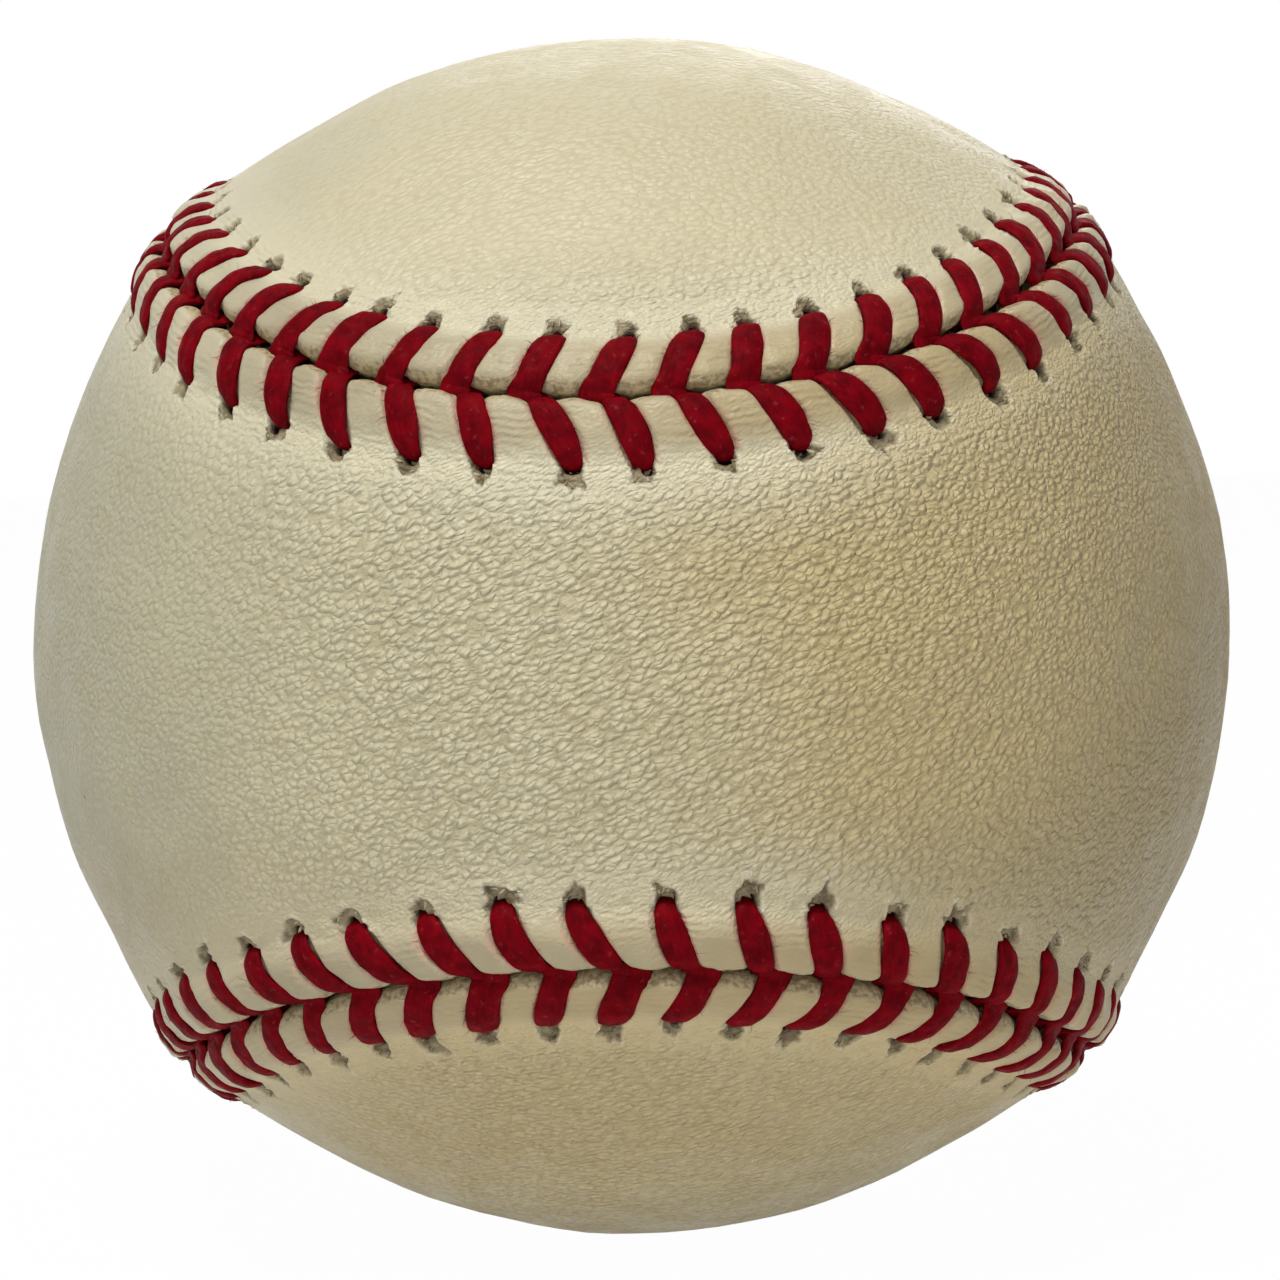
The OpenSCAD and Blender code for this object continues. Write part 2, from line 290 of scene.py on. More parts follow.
class Holes:
    """Each hole of one panel: a ragged shallow tear with a deep pit beside the thread's end."""

    SPIKES = 7
    HALF_LENGTHS, HALF_WIDTHS, SHIFTS = (0.56, 0.84), (0.52, 0.66), (0.42, 0.62)
    TURN_SPREAD = 0.25
    DEPTHS, SLOPES, LIPS = (0.65, 0.9), (0.18, 0.34), (0.03, 0.15)
    SPIKE_LENGTHS, SPIKE_WIDTHS, SPIKE_POWER = (0, 0.85), (0.1, 0.24), 1.4
    PIT_LENGTHS, PIT_WIDTHS = (0.34, 0.56), (0.34, 0.5)
    PIT_ASIDE, PIT_SPREAD, PIT_AHEAD = 0.06, 0.12, 0.26
    CORNER_POWER = 2.4

    def __init__(self, legs):
        rng = np.random.default_rng(SEED * 3 + legs.side)
        n = STITCHES
        self.reach = legs.reach
        self.half_l = rng.uniform(*self.HALF_LENGTHS, n)
        self.half_w = rng.uniform(*self.HALF_WIDTHS, n)
        self.shift = rng.uniform(*self.SHIFTS, n)
        self.turn = rng.normal(0, self.TURN_SPREAD, n)
        self.depth = rng.uniform(*self.DEPTHS, n)
        self.slope = rng.uniform(*self.SLOPES, n)
        self.spike_at = rng.uniform(-np.pi, np.pi, (n, self.SPIKES))
        self.spike_l = rng.uniform(*self.SPIKE_LENGTHS, (n, self.SPIKES)) ** self.SPIKE_POWER
        self.spike_w = rng.uniform(*self.SPIKE_WIDTHS, (n, self.SPIKES))
        self.pit_l = rng.uniform(*self.PIT_LENGTHS, n)
        self.pit_w = rng.uniform(*self.PIT_WIDTHS, n)
        self.pit_x = rng.normal(self.PIT_ASIDE, self.PIT_SPREAD, n)
        self.lip = rng.uniform(*self.LIPS, n)

    def shares(self, k, x, d):
        """Shares of the way to the torn edge and to the pit's edge, and the angle between."""
        y = d - self.reach[k] - self.shift[k]
        c, s = np.cos(self.turn[k]), np.sin(self.turn[k])
        u, v = (x * c - y * s) / self.half_w[k], (x * s + y * c) / self.half_l[k]
        angle = np.arctan2(u, v)
        edge = np.ones_like(angle)
        for i in range(self.SPIKES):
            gap = np.angle(np.exp(1j * (angle - self.spike_at[k, i])))
            edge += self.spike_l[k, i] * np.exp(-np.abs(gap / self.spike_w[k, i]) ** 1.5)
        power = self.CORNER_POWER
        tear = (np.abs(u) ** power + np.abs(v) ** power) ** (1 / power) / edge
        pit_y = (d - self.reach[k] - self.PIT_AHEAD) / self.pit_l[k]
        pit = np.hypot((x - self.pit_x[k]) / self.pit_w[k], pit_y)
        return tear, pit, angle


# Panels: a fine grid of columns that follow the legs, in rings away from the seam

COLUMNS = 24
FADE_START = 6
FADE_END = 9.0
NEAR_SHARES = np.concatenate([np.arange(9) * 0.034, 0.272 + np.arange(1, 5) * 0.057])
FINE_SHARES = np.concatenate([NEAR_SHARES[:-1], 1 - NEAR_SHARES[:0:-1]])
LEG_STEPS = 5
HOLE_FROM, HOLE_TO, HOLE_STEPS = -0.75, 1.5, 16
AFTER_HOLE_STEPS = (1.75, 2.15)
WALL_STEPS = 2
COARSE_ROWS = ((12, (6.6, 7.3, 8.1, 9.0)), (6, (10.0, 11.1, 12.2, 13.3)))
SPINE_SHARES = (0.1, 0.2, 0.3, 0.4, 0.5, 0.6, 0.7, 0.8, 0.9, 1)
SPINE_SEAM = 15
UNDER_SPINE_SHARES = (0.35, 0.7, 1)
UNDER_ROWS = ((1.6, UNDER_H), (UNDER_W, UNDER_H), (6.5, -1.1), (9.0, -1.25), (13.3, -LEATHER_T))


class Panel:
    """Builds one cover panel as one closed mesh."""

    def __init__(self, side):
        self.side = side
        self.legs = Legs(side)
        self.holes = Holes(self.legs)
        self.points, self.faces = [], []
        self.layers = {name: [] for name in ("tear", "pit", "lip", "cut", "rub", "seam")}
        self.count = 0
        rng = np.random.default_rng(SEED * 5 + side)
        self.edge_near = EDGE_NEAR + self.legs.open + rng.uniform(0, EDGE_SPREAD, STITCHES)

    def columns(self, per_stitch, d_far):
        """Stitch number and share of the way to the next leg for each column."""
        k = np.repeat(np.arange(STITCHES), per_stitch)
        fine = np.tile(FINE_SHARES[:: COLUMNS // per_stitch], STITCHES)
        even = np.tile(np.arange(per_stitch) / per_stitch, STITCHES)
        return k, fine + (even - fine) * d_far

    def run(self, k, v, d):
        after = (k + 1) % STITCHES
        here = k * PITCH + self.legs.offset(k, d)
        there = (k + 1) * PITCH + self.legs.offset(after, d)
        return here * (1 - v) + there * v

    def edge(self, k, v):
        """Distance of the panel's edge from the seam: a scallop between each two threads."""
        after = (k + 1) % STITCHES
        near = self.edge_near[k] * (1 - v) + self.edge_near[after] * v
        return near + EDGE_NOTCH * (1 - np.sin(np.pi * v))

    def reach(self, k, v):
        """Distance of the row of holes from the seam."""
        return self.legs.reach[k] * (1 - v) + self.legs.reach[(k + 1) % STITCHES] * v

    def ground(self, k, v, d, edge, gap, flat):
        """Height of the leather without its torn holes, and how far it is out of the troughs."""
        legs, reach = self.legs, self.reach(k, v)
        along = 1 - smooth(reach + PILLOW_END[0], reach + PILLOW_END[1], d)
        crown = legs.crown[k] * PILLOW_CROWN * 4 * v * (1 - v)
        uneven = lumps(flat, BROAD_LUMPS, SEED) + lumps(flat, SMALL_LUMPS, SEED + 8)
        pillow = rise(d) + (PILLOW_H + crown + uneven) * along
        rim = np.interp(d - edge, RIM_STEPS, RIM_DROPS)
        nearest = np.where(v < 0.5, k, (k + 1) % STITCHES)
        trough = legs.height(nearest, d) - THREAD_T / 2 - TROUGH_GAP
        side = smooth(*PILLOW_SIDE, gap)
        side = np.maximum(side, smooth(reach + TROUGH_END[0], reach + TROUGH_END[1], d))
        height = trough + (pillow - rim - trough) * side
        height -= dents(flat)
        height += bell(d - edge, *RIM_RAG) * side * lumps(flat, RAGGED_RIM, SEED + 9)
        height += bell(d - reach, *HOLE_PINCH) * lumps(flat, PINCHES, SEED + 3)
        return height, side

    def tear(self, hole, x, d, reach, flat):
        """How far one hole of each column lowers the leather, and its layers."""
        holes = self.holes
        tear_share, pit_share, angle = holes.shares(hole, x, d)
        tear = 1 - smooth(*TEAR_FADE, tear_share)
        tear *= smooth(reach + TEAR_START[0], reach + TEAR_START[1], d)
        pit = (1 - smooth(*PIT_FADE, pit_share)) * tear
        lip = bell(tear_share, *LIP) * (0.6 + 0.4 * np.sin(3 * angle + hole))
        floor = holes.slope[hole] * (1 + lumps(flat, TORN_FLOOR, SEED + 4))
        drop = tear * floor + pit * holes.depth[hole] - holes.lip[hole] * lip
        return drop, {"tear": tear, "pit": pit, "lip": lip}

    def surface(self, k, v, d, edge):
        """Run, height and layers of the leather at a distance from the seam."""
        legs, after, reach = self.legs, (k + 1) % STITCHES, self.reach(k, v)
        run = self.run(k, v, d)
        flat = on_ball(run, self.side * d, np.zeros_like(d))
        here = run - k * PITCH - legs.offset(k, d)
        there = (k + 1) * PITCH + legs.offset(after, d) - run
        gap = np.minimum(
            here * legs.slant(k) - legs.half_width(k, d),
            there * legs.slant(after) - legs.half_width(after, d),
        )
        height, side = self.ground(k, v, d, edge, gap, flat)
        layers = {name: np.zeros_like(d) for name in ("tear", "pit", "lip")}
        for hole, x in ((k, here), (after, -there)):
            drop, marks = self.tear(hole, x, d, reach, flat)
            height -= drop
            for name, value in marks.items():
                layers[name] = np.maximum(layers[name], value)
        rub = bell(gap, *THREAD_RUB) * (1 - smooth(reach + RUB_END[0], reach + RUB_END[1], d))
        layers.update(rub=rub, cut=np.interp(d - edge, RIM_STEPS, CUT_SHARES) * side, seam=d)
        return run, height, layers

    def add(self, points, layers):
        self.points.append(points)
        for name, values in self.layers.items():
            values.append(np.zeros(len(points)) + layers.get(name, 0))
        ids = np.arange(self.count, self.count + len(points))
        self.count += len(points)
        return ids

    def add_ring(self, run, reach, height, layers):
        return self.add(on_ball(run, self.side * reach, height), layers)

    def join(self, outer, inner):
        """Faces between two rings; the outer one may have several columns to the inner's one."""
        many = len(outer) // len(inner)
        if many == 1:
            a, b = outer, inner
            c, d = np.roll(a, -1), np.roll(b, -1)
            self.faces += [np.stack([a, b, d], 1), np.stack([a, d, c], 1)]
            return
        for i in range(many):
            a = outer[i::many]
            b = np.roll(outer, -1)[i::many]
            tip = inner if i < many / 2 else np.roll(inner, -1)
            self.faces.append(np.stack([a, tip, b], 1))
        middle = outer[(many + 1) // 2 :: many]
        self.faces.append(np.stack([middle, inner, np.roll(inner, -1)], 1))

    def swapped(self, v):
        """Moves the back panel's points to the front panel's place, or back again."""
        return v if self.side > 0 else np.stack([v[:, 2], -v[:, 1], v[:, 0]], 1)

    def spine_foot(self, points):
        """Nearest points of the panel's spine, which runs between the centres of its ends."""
        v = self.swapped(unit(points))
        a = np.clip(np.arctan2(v[:, 0], -v[:, 1]), -SPINE_END, SPINE_END)
        return self.swapped(np.stack([np.sin(a), -np.cos(a), np.zeros_like(a)], 1))

    def fine_rows(self, edge, reach):
        """Distances from the seam of the rings beside the threads and over the holes."""
        rows = [edge + step for step in RIM_STEPS]
        leg_from, leg_to = edge + RIM_STEPS[-1], reach + HOLE_FROM
        for i in range(1, LEG_STEPS + 1):
            rows.append(leg_from + (leg_to - leg_from) * i / (LEG_STEPS + 1))
        rows += [reach + step for step in np.linspace(HOLE_FROM, HOLE_TO, HOLE_STEPS)]
        return rows + [reach + step for step in AFTER_HOLE_STEPS]

    def wall_rings(self, run, edge, top):
        """Rings down the cut edge, from its top to its foot."""
        rings = []
        for i in range(1, WALL_STEPS + 1):
            share = i / WALL_STEPS
            height = top + (UNDER_H - top) * share
            at = on_ball(run, self.side * edge, height)
            d = edge + lumps(at, CUT_WALL, SEED + 5) + WALL_BULGE * np.sin(np.pi * share)
            rings.append(self.add_ring(run, d, height, {"cut": 1}))
        return rings

    def rows_to_spine(self, shares, radius):
        """Rows of points that lead from the last ring to the panel's spine."""
        last = self.points[-1]
        foot = self.spine_foot(last)
        return [unit(unit(last) * (1 - share) + foot * share) * radius for share in shares]

    def upper_rings(self):
        """Rings of the grain side, from the foot of the cut edge to the spine."""
        k, v = self.columns(COLUMNS, 0.0)
        edge = self.edge(k, v)
        rows = self.fine_rows(edge, self.reach(k, v))
        made = [self.surface(k, v, d, edge) for d in rows]
        rings = [self.add_ring(run, d, height, layers) for d, (run, height, layers) in zip(rows, made)]
        top_run, top, _ = made[0]
        rings = self.wall_rings(top_run, edge, top)[::-1] + rings
        for per_stitch, distances in COARSE_ROWS:
            for d in distances:
                k, v = self.columns(per_stitch, smooth(FADE_START, FADE_END, np.array(d)))
                d = np.full(len(k), float(d))
                run, height, _ = self.surface(k, v, d, np.zeros(len(k)))
                rings.append(self.add_ring(run, d, height, {"seam": d}))
        for points in self.rows_to_spine(SPINE_SHARES, BALL_R):
            points -= unit(points) * dents(points)[:, None]
            rings.append(self.add(points, {"seam": SPINE_SEAM}))
        return rings

    def lower_rings(self, first):
        """Rings of the flesh side, from the foot of the cut edge to the spine."""
        k, v = self.columns(COLUMNS // 4, 0.0)
        rings = [first]
        for reach, height in UNDER_ROWS:
            d = np.full(len(k), reach)
            rings.append(self.add_ring(self.run(k, v, d), d, height + 0 * d, {"cut": 0.5}))
        for points in self.rows_to_spine(UNDER_SPINE_SHARES, BALL_R - LEATHER_T):
            rings.append(self.add(points, {"cut": 0.5}))
        return rings

    def build(self):
        upper = self.upper_rings()
        for outer, inner in zip(upper, upper[1:]):
            self.join(outer, inner)
        faces_before = len(self.faces)
        lower = self.lower_rings(upper[0])
        for outer, inner in zip(lower, lower[1:]):
            self.join(outer, inner)
        self.faces[faces_before:] = [f[:, ::-1] for f in self.faces[faces_before:]]
        layers = {name: np.concatenate(values) for name, values in self.layers.items()}
        layers["back"] = np.full(self.count, float(self.side < 0))
        return np.concatenate(self.points), np.concatenate(self.faces), layers


def merged(points, faces, layers):
    """Joins points that coincide, and drops the faces that this flattens."""
    key = np.round(points, 4)
    _, first, back = np.unique(key, axis=0, return_index=True, return_inverse=True)
    faces = back.reshape(-1)[faces]
    real = (faces[:, 0] != faces[:, 1]) & (faces[:, 1] != faces[:, 2]) & (faces[:, 2] != faces[:, 0])
    return points[first], faces[real], {name: values[first] for name, values in layers.items()}


def new_object(name, data):
    made = bpy.data.objects.new(name, data)
    bpy.context.scene.collection.objects.link(made)
    return made


def mesh_object(name, points, faces, layers=None):
    mesh = bpy.data.meshes.new(name)
    mesh.from_pydata(points * MM, [], faces.tolist())
    for layer, values in (layers or {}).items():
        attribute = mesh.attributes.new(layer, "FLOAT", "POINT")
        attribute.data.foreach_set("value", values.astype(np.float32))
    mesh.polygons.foreach_set("use_smooth", np.ones(len(mesh.polygons), bool))
    mesh.update()
    return new_object(name, mesh)


def cover_panel(panel, name, node):
    points, faces, layers = merged(*panel.build())
    if panel.side < 0:
        faces = faces[:, ::-1]
    piece = mesh_object(name, points, faces, layers)
    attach(piece, "root")
    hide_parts(node)
    return piece


# Lacing: each thread is one closed tube that takes every second stitch of each panel

SIDES = 20
LEG_ROWS = ((0.96, 4), (0.86, 4), (0.68, 4), (0.48, 4), (0.28, 4), (0.13, 3))
# The front leg starts under the back leg's broad foot, which fills the gap between the panels
CROSSING_ROWS = {
    1: ((-0.03, 0.14, 0.36, 0.7, 0.42, 3), (-0.1, -0.18, 0.1, 0.8, 0.4, 2),
        (-0.16, -0.42, -0.2, 0.8, 0.4, 2), (-0.2, -0.48, -0.55, 0.6, 0.4, 1)),
    -1: ((-0.02, 0.16, 0.72, 1.12, 0.44, 3), (-0.02, -0.12, 0.66, 1.22, 0.42, 2),
         (-0.05, -0.38, 0.46, 1.2, 0.42, 2), (-0.18, -0.56, -0.3, 0.7, 0.4, 1)),
}
CROSSING_SWELL = {1: 2.2, -1: 0.9}


def stitch_path(legs, k):
    """Middle line of one stitch: run, distance from the seam to its own side, height, size."""
    x1, reach, x0, w = legs.hole_x[k], legs.reach[k], legs.cross_x[k], legs.width[k]
    rows = [
        (PITCH + 2 * legs.slip[k] - x0, 0.3, THREAD_LOW + 0.6 * legs.open[k], 0.6 * w, 0.42, 1),
        ((PITCH + x1) / 2, reach * 0.5, THREAD_LOW, 0.5 * w, 0.42, 1),
        (x1 + 0.1, reach - 0.2, THREAD_LOW + 0.05, 0.55 * w, 0.42, 1),
        (x1 + 0.02, reach + 0.1, -0.4, 0.6 * w, 0.46, 1),
        (x1, reach + 0.1, 0.05, 0.68 * w, 0.48, 2),
    ]
    for f, steps in LEG_ROWS:
        d = reach * f
        size = 2 * legs.half_width(k, d)
        rows.append((legs.offset(k, d), d, legs.height(k, d), size, THREAD_T, steps))
    swell = w * (1 + CROSSING_SWELL[legs.side] * legs.open[k])
    rows += [(x0 + x, d, z, size * swell, t, n) for x, d, z, size, t, n in CROSSING_ROWS[legs.side]]
    return np.array(rows)


def spline(rows, steps):
    """Closed Catmull-Rom line through rows, with its own number of steps after each."""
    before, after, far = np.roll(rows, 1, 0), np.roll(rows, -1, 0), np.roll(rows, -2, 0)
    made = []
    for i, n in enumerate(steps):
        t = (np.arange(n) / n)[:, None]
        a, b, c, d = before[i], rows[i], after[i], far[i]
        made.append(0.5 * (2 * b + (c - a) * t + (2 * a - 5 * b + 4 * c - d) * t ** 2
                           + (3 * b - a - 3 * c + d) * t ** 3))
    return np.concatenate(made)


def thread_line(first_side, legs_of):
    """Middle line of one whole thread: run, distance from the seam, height, width, thickness."""
    # Worked against the run of the seam, so the stitches come in falling order
    rows = []
    for k in reversed(range(STITCHES)):
        side = first_side if k % 2 == 0 else -first_side
        path = stitch_path(legs_of[side], k)
        path[:, 0] += k * PITCH
        path[:, 1] *= side
        rows.append(path)
    rows = np.concatenate(rows)
    steps = rows[:, 5].astype(int)
    # The run falls by one whole turn over the closed line, so it is splined without that fall
    total = STITCHES * PITCH
    fall = np.linspace(0, total, len(rows), endpoint=False)
    rows[:, 0] += fall
    line = spline(rows[:, :5], steps)
    fall = np.concatenate([a + total / len(rows) * np.arange(n) / n for a, n in zip(fall, steps)])
    line[:, 0] -= fall
    return line


def lacing_thread(first_side, name, node, legs_of):
    """A closed tube with soft ridges along a thread's line."""
    line = thread_line(first_side, legs_of)
    middle = on_ball(line[:, 0], line[:, 1], line[:, 2])
    tangent = unit(np.roll(middle, -1, 0) - np.roll(middle, 1, 0))
    _, travel, _ = seam_frames(line[:, 0])
    across = unit(travel - tangent * np.sum(travel * tangent, 1, keepdims=True))
    up = np.cross(across, tangent)
    step = np.linalg.norm(np.roll(middle, -1, 0) - middle, axis=1)
    along = np.concatenate([[0], np.cumsum(step)[:-1]])
    turn = 2 * np.pi * np.arange(SIDES) / SIDES
    lie = 0.5 * along[:, None] + np.sin(along[:, None])
    ridge = 1 + THREAD_RIDGE_H * np.sin(THREAD_RIDGES * turn[None] + lie)
    x = np.cos(turn)[None] * line[:, 3:4] / 2 * ridge
    y = np.sign(np.sin(turn)) * np.abs(np.sin(turn)) ** THREAD_FULLNESS
    y = y[None] * line[:, 4:5] / 2 * ridge
    points = middle[:, None] + across[:, None] * x[..., None] + up[:, None] * y[..., None]
    points += lumps(points, THREAD_LUMPS, SEED + 6)[..., None] * unit(points)
    n = len(line)
    ids = np.arange(n * SIDES).reshape(n, SIDES)
    a, b = ids, np.roll(ids, -1, 1)
    c, d = np.roll(ids, -1, 0), np.roll(np.roll(ids, -1, 0), -1, 1)
    faces = np.concatenate([np.stack([a, d, b], -1).reshape(-1, 3),
                            np.stack([a, c, d], -1).reshape(-1, 3)])
    layers = {"along": np.repeat(along, SIDES), "across": x.reshape(-1)}
    piece = mesh_object(name, points.reshape(-1, 3), faces, layers)
    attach(piece, "root")
    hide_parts(node)
    return piece


# Torn flaps and fibres at the holes, and fuzz beside the threads

STRIP_SIDES = 4
STRIP_RINGS = 5
TAPER = np.array([1, 0.95, 0.8, 0.5, 0.12])
FLAPS_PER_HOLE = 3
FLAP_ANGLES = (-1.8, 1.8)
FLAP_PLACES = (0.9, 1.1)
FLAP_LENGTHS = (0.15, 0.42)
FLAP_LEAN_SPREAD = 0.7
FLAP_LIFTS = (-0.25, 0.16)
FLAP_WIDTHS = (0.1, 0.24)
FLAP_THICKNESSES = (0.05, 0.1)
FIBRES_PER_LEG = 6
FIBRE_PLACES = (0.2, 3.4)
FIBRE_LENGTHS = (0.2, 0.65)
FIBRE_LEANS = (0.3, 1.5)
FIBRE_CURL_SPREAD = 0.5
FIBRE_LIFTS = (0.05, 0.22)
FIBRE_WIDTHS = (0.018, 0.034)


def strips(name, run, reach, height, wide, thick):
    """Closed tapering strips; run, reach and height hold one row of ring centres for each."""
    middle = on_ball(run, reach, height)
    tangent = unit(np.gradient(middle, axis=1))
    across = unit(np.cross(tangent, unit(middle)))
    up = np.cross(across, tangent)
    turn = 2 * np.pi * np.arange(STRIP_SIDES) / STRIP_SIDES
    x = (wide[:, None] * TAPER)[..., None] / 2 * np.cos(turn)
    y = (thick[:, None] * TAPER)[..., None] / 2 * np.sin(turn)
    points = middle[:, :, None] + across[:, :, None] * x[..., None] + up[:, :, None] * y[..., None]
    count = len(middle)
    ids = np.arange(count * STRIP_RINGS * STRIP_SIDES).reshape(count, STRIP_RINGS, STRIP_SIDES)
    a, b = ids[:, :-1], np.roll(ids, -1, 2)[:, :-1]
    c, d = ids[:, 1:], np.roll(ids, -1, 2)[:, 1:]
    first, last = ids[:, 0, ::-1], ids[:, -1]
    faces = [np.stack([a, c, d], -1), np.stack([a, d, b], -1)]
    for cap in (first, last):
        faces += [cap[:, [0, 1, 2]], cap[:, [0, 2, 3]]]
    faces = np.concatenate([f.reshape(-1, 3) for f in faces])
    piece = mesh_object(name, points.reshape(-1, 3), faces)
    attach(piece, "root")
    return piece


def leather_height(reach):
    return rise(reach) - 0.12


def torn_flaps(name, legs, holes, per_hole, seed):
    """Short curled tongues of torn leather round each hole."""
    rng = np.random.default_rng(seed)
    k = np.repeat(np.arange(STITCHES), per_hole)
    n = len(k)
    angle = rng.uniform(*FLAP_ANGLES, n)
    share = rng.uniform(*FLAP_PLACES, n)
    x = np.sin(angle) * holes.half_w[k] * share
    y = np.cos(angle) * holes.half_l[k] * share + holes.shift[k]
    length = rng.uniform(*FLAP_LENGTHS, n)
    lean = angle + np.pi + rng.normal(0, FLAP_LEAN_SPREAD, n)
    t = np.linspace(0, 1, STRIP_RINGS)[None]
    lift = rng.uniform(*FLAP_LIFTS, n)[:, None]
    run = (k * PITCH + legs.hole_x[k] + x)[:, None] + np.sin(lean)[:, None] * length[:, None] * t
    reach = (legs.reach[k] + y)[:, None] + np.cos(lean)[:, None] * length[:, None] * t
    height = leather_height(reach) - 0.03 + lift * t ** 1.5
    wide, thick = rng.uniform(*FLAP_WIDTHS, n), rng.uniform(*FLAP_THICKNESSES, n)
    return strips(name, run, legs.side * reach, height, wide, thick)


def thread_fuzz(name, legs, per_leg, seed):
    """Fine loose fibres that stand out from both edges of each thread."""
    rng = np.random.default_rng(seed)
    k = np.repeat(np.arange(STITCHES), per_leg)
    n = len(k)
    d = rng.uniform(*FIBRE_PLACES, n)
    way = rng.choice((-1, 1), n)
    x = legs.offset(k, d) + way * (legs.half_width(k, d) - 0.1) / legs.slant(k)
    length = rng.uniform(*FIBRE_LENGTHS, n)
    lean = way * rng.uniform(*FIBRE_LEANS, n)
    t = np.linspace(0, 1, STRIP_RINGS)[None]
    curl = rng.normal(0, FIBRE_CURL_SPREAD, n)[:, None]
    run = (k * PITCH + x)[:, None] + np.sin(lean[:, None] + curl * t) * length[:, None] * t
    reach = d[:, None] + np.cos(lean[:, None] + curl * t) * length[:, None] * t
    top = legs.height(k, d)[:, None] + 0.12
    height = top + rng.uniform(*FIBRE_LIFTS, n)[:, None] * t
    wide = rng.uniform(*FIBRE_WIDTHS, n)
    return strips(name, run, legs.side * reach, height, wide, wide)


# Materials

class Nodes:
    """Short calls for building a material's node tree."""

    def __init__(self, name):
        self.material = bpy.data.materials.new(name)
        self.material.use_nodes = True
        self.tree = self.material.node_tree
        self.shader = self.tree.nodes["Principled BSDF"]
        self.place = self.tree.nodes.new("ShaderNodeTexCoord").outputs["Object"]

    def link(self, source, target):
        self.tree.links.new(source, target)

    def put(self, target, value):
        if isinstance(value, bpy.types.NodeSocket):
            self.link(value, target)
        else:
            target.default_value = value

    def texture(self, kind, size, place=None):
        """A texture whose features are about size millimetres."""
        node = self.tree.nodes.new("ShaderNodeTex" + kind)
        node.inputs["Scale"].default_value = 1 / (size * MM)
        self.link(place or self.place, node.inputs["Vector"])
        return node

    def noise(self, size, detail=2.0, place=None):
        node = self.texture("Noise", size, place)
        node.inputs["Detail"].default_value = detail
        return node.outputs["Fac"]

    def cells(self, size, place, feature):
        node = self.texture("Voronoi", size, place)
        node.feature = feature
        return node.outputs["Distance"]

    def layer(self, name):
        node = self.tree.nodes.new("ShaderNodeAttribute")
        node.attribute_name = name
        return node.outputs["Fac"]

    def math(self, operation, a, b=0.0):
        node = self.tree.nodes.new("ShaderNodeMath")
        node.operation = operation
        self.put(node.inputs[0], a)
        self.put(node.inputs[1], b)
        return node.outputs[0]

    def times(self, a, b):
        return self.math("MULTIPLY", a, b)

    def rest(self, share):
        return self.math("SUBTRACT", 1.0, share)

    def ramp(self, value, low, high, to_low=0.0, to_high=1.0):
        """Smooth step of value from low to high."""
        node = self.tree.nodes.new("ShaderNodeMapRange")
        node.interpolation_type = "SMOOTHSTEP"
        self.put(node.inputs["Value"], value)
        for name, number in zip(("From Min", "From Max", "To Min", "To Max"),
                                (low, high, to_low, to_high)):
            node.inputs[name].default_value = number
        return node.outputs["Result"]

    def mix(self, share, a, b):
        node = self.tree.nodes.new("ShaderNodeMix")
        node.data_type = "RGBA"
        self.put(node.inputs["Factor"], share)
        for name, value in (("A", a), ("B", b)):
            socket = next(s for s in node.inputs if s.name == name and s.type == "RGBA")
            self.put(socket, value if isinstance(value, bpy.types.NodeSocket) else (*value, 1))
        return next(s for s in node.outputs if s.type == "RGBA")

    def axis(self, number):
        node = self.tree.nodes.new("ShaderNodeSeparateXYZ")
        self.link(self.place, node.inputs[0])
        return node.outputs[number]

    def along(self, number, low, high, to_low=0.0, to_high=1.0):
        """Smooth step along an axis from low to high millimetres."""
        return self.ramp(self.axis(number), low * MM, high * MM, to_low, to_high)

    def bent(self, amount, size):
        """The place moved about by noise, in millimetres."""
        noise = self.texture("Noise", size)
        centred = self.tree.nodes.new("ShaderNodeVectorMath")
        centred.operation = "SUBTRACT"
        self.link(noise.outputs["Color"], centred.inputs[0])
        centred.inputs[1].default_value = (0.5, 0.5, 0.5)
        scaled = self.tree.nodes.new("ShaderNodeVectorMath")
        scaled.operation = "MULTIPLY_ADD"
        self.link(centred.outputs[0], scaled.inputs[0])
        scaled.inputs[1].default_value = (amount * MM,) * 3
        self.link(self.place, scaled.inputs[2])
        return scaled.outputs[0]

    def drawn_out(self, place, share, turn):
        """The place with features share times as long along a slanting way over the front."""
        node = self.tree.nodes.new("ShaderNodeMapping")
        node.vector_type = "TEXTURE"
        node.inputs["Rotation"].default_value = (0, turn, 0)
        node.inputs["Scale"].default_value = (share, 1, 1)
        self.link(place, node.inputs["Vector"])
        return node.outputs[0]

    def pebbles(self, size, place):
        """Leather grain: rounded cells parted by wandering creases."""
        dome = self.ramp(self.cells(size, place, "F1"), 0.1, 0.85, 1, 0)
        crease = self.ramp(self.cells(size, place, "DISTANCE_TO_EDGE"), 0, 0.22, 0, 0.1)
        fine = self.times(self.noise(size * 0.8, 2.5, place), 1.3)
        return self.math("ADD", self.math("ADD", dome, crease), fine)

    def bump(self, height, depth, strength=1.0, below=None):
        node = self.tree.nodes.new("ShaderNodeBump")
        node.inputs["Distance"].default_value = depth * MM
        self.put(node.inputs["Strength"], strength)
        self.link(height, node.inputs["Height"])
        if below is not None:
            self.link(below, node.inputs["Normal"])
        return node.outputs["Normal"]

    def finish(self, **sockets):
        for name, value in sockets.items():
            target = self.shader.inputs[name.replace("_", " ")]
            if isinstance(value, tuple) and len(value) == 3:
                value = (*value, 1)
            self.put(target, value)
        return self.material


GRAIN_TURN = np.radians(-24)


